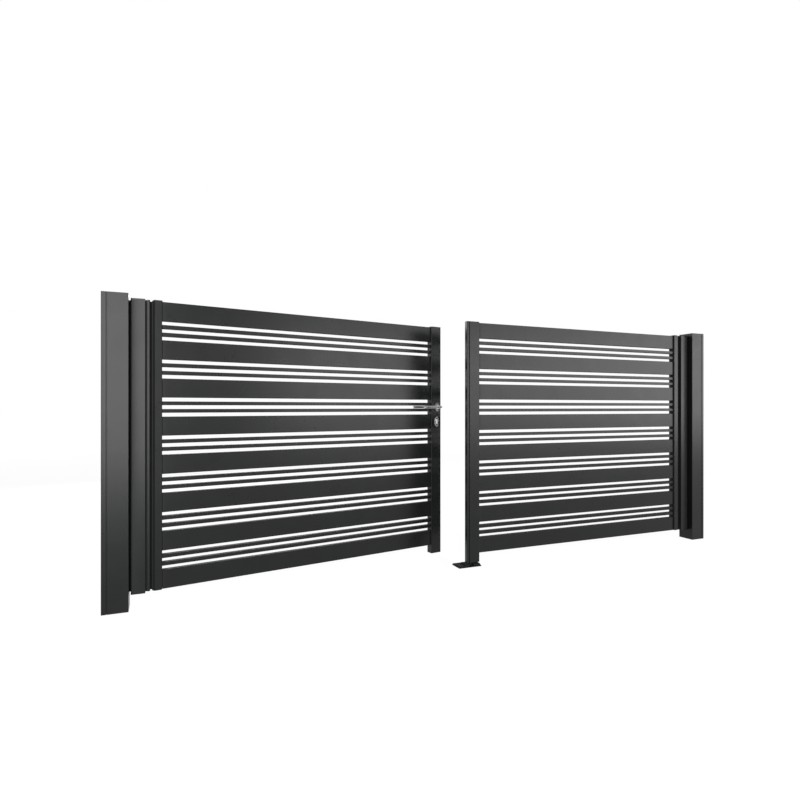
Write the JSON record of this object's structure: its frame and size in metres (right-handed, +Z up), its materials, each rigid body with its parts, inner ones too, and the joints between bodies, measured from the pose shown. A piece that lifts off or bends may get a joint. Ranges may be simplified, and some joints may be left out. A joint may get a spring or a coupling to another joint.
{
  "type": "swing gate",
  "caption": "Double-leaf swing gate of wide and narrow horizontal rails on pivot hinges between square posts, with a lever lock set and a ground keep plate.",
  "frame": {"origin": "centre of the left post's base, on the ground", "axes": "+X along the closed gate from the left post to the right one, +Y to the inside of the yard, towards which the leaves open, +Z up"},
  "size_m": [4.19, 0.4525, 1.604],
  "materials": {
    "powder_coat": "satin anthracite powder coat, fine texture",
    "hinge_steel": "satin anthracite powder coat on pivot plates and pins",
    "keep_steel": "satin anthracite powder coat, scuffed on the raised pad",
    "cap_plastic": "matte anthracite plastic",
    "stainless_steel": "fine brushed stainless steel",
    "nickel_cylinder": "satin nickel"
  },
  "bodies": {
    "posts": {"left_post": "powder_coat", "left_post_cover": "powder_coat", "left_post_cap": "powder_coat", "left_hinge_jamb": "powder_coat", "left_hinge_plates": "hinge_steel", "right_post": "powder_coat", "right_post_cover": "powder_coat", "right_post_cap": "powder_coat", "right_hinge_jamb": "powder_coat", "right_hinge_plates": "hinge_steel", "ground_keep": "keep_steel"},
    "left_leaf": {"left_hinge_stile": "powder_coat", "left_free_stile": "powder_coat", "left_wide_rails": "powder_coat", "left_narrow_bars": "powder_coat", "left_stile_caps": "cap_plastic", "lock_forend": "stainless_steel", "lever_rosettes": "stainless_steel", "cylinder_escutcheons": "stainless_steel", "lock_cylinder": "nickel_cylinder"},
    "right_leaf": {"right_hinge_stile": "powder_coat", "right_free_stile": "powder_coat", "right_wide_rails": "powder_coat", "right_narrow_bars": "powder_coat", "right_stile_caps": "cap_plastic", "right_closing_strip": "powder_coat", "strike_plate": "stainless_steel"},
    "handle": {"front_lever": "stainless_steel", "rear_lever": "stainless_steel", "handle_spindle": "stainless_steel"}
  },
  "joints": [
    {"name": "left_leaf_swing", "type": "hinge", "parent": "posts", "child": "left_leaf", "pos_m": [0.139, 0.017, 0.08], "axis": [0, 0, 1], "range_deg": [-9.9, 80.1]},
    {"name": "right_leaf_swing", "type": "hinge", "parent": "posts", "child": "right_leaf", "pos_m": [3.901, 0.017, 0.08], "axis": [0, 0, -1], "range_deg": [0, 90]},
    {"name": "lever_turn", "type": "hinge", "parent": "left_leaf", "child": "handle", "pos_m": [1.94812, 0.31549, 1.03], "axis": [0.1719, -0.9851, 0], "range_deg": [0, 45], "stiffness_Nm_per_rad": 1.2, "springref_deg": -28.65}
  ]
}
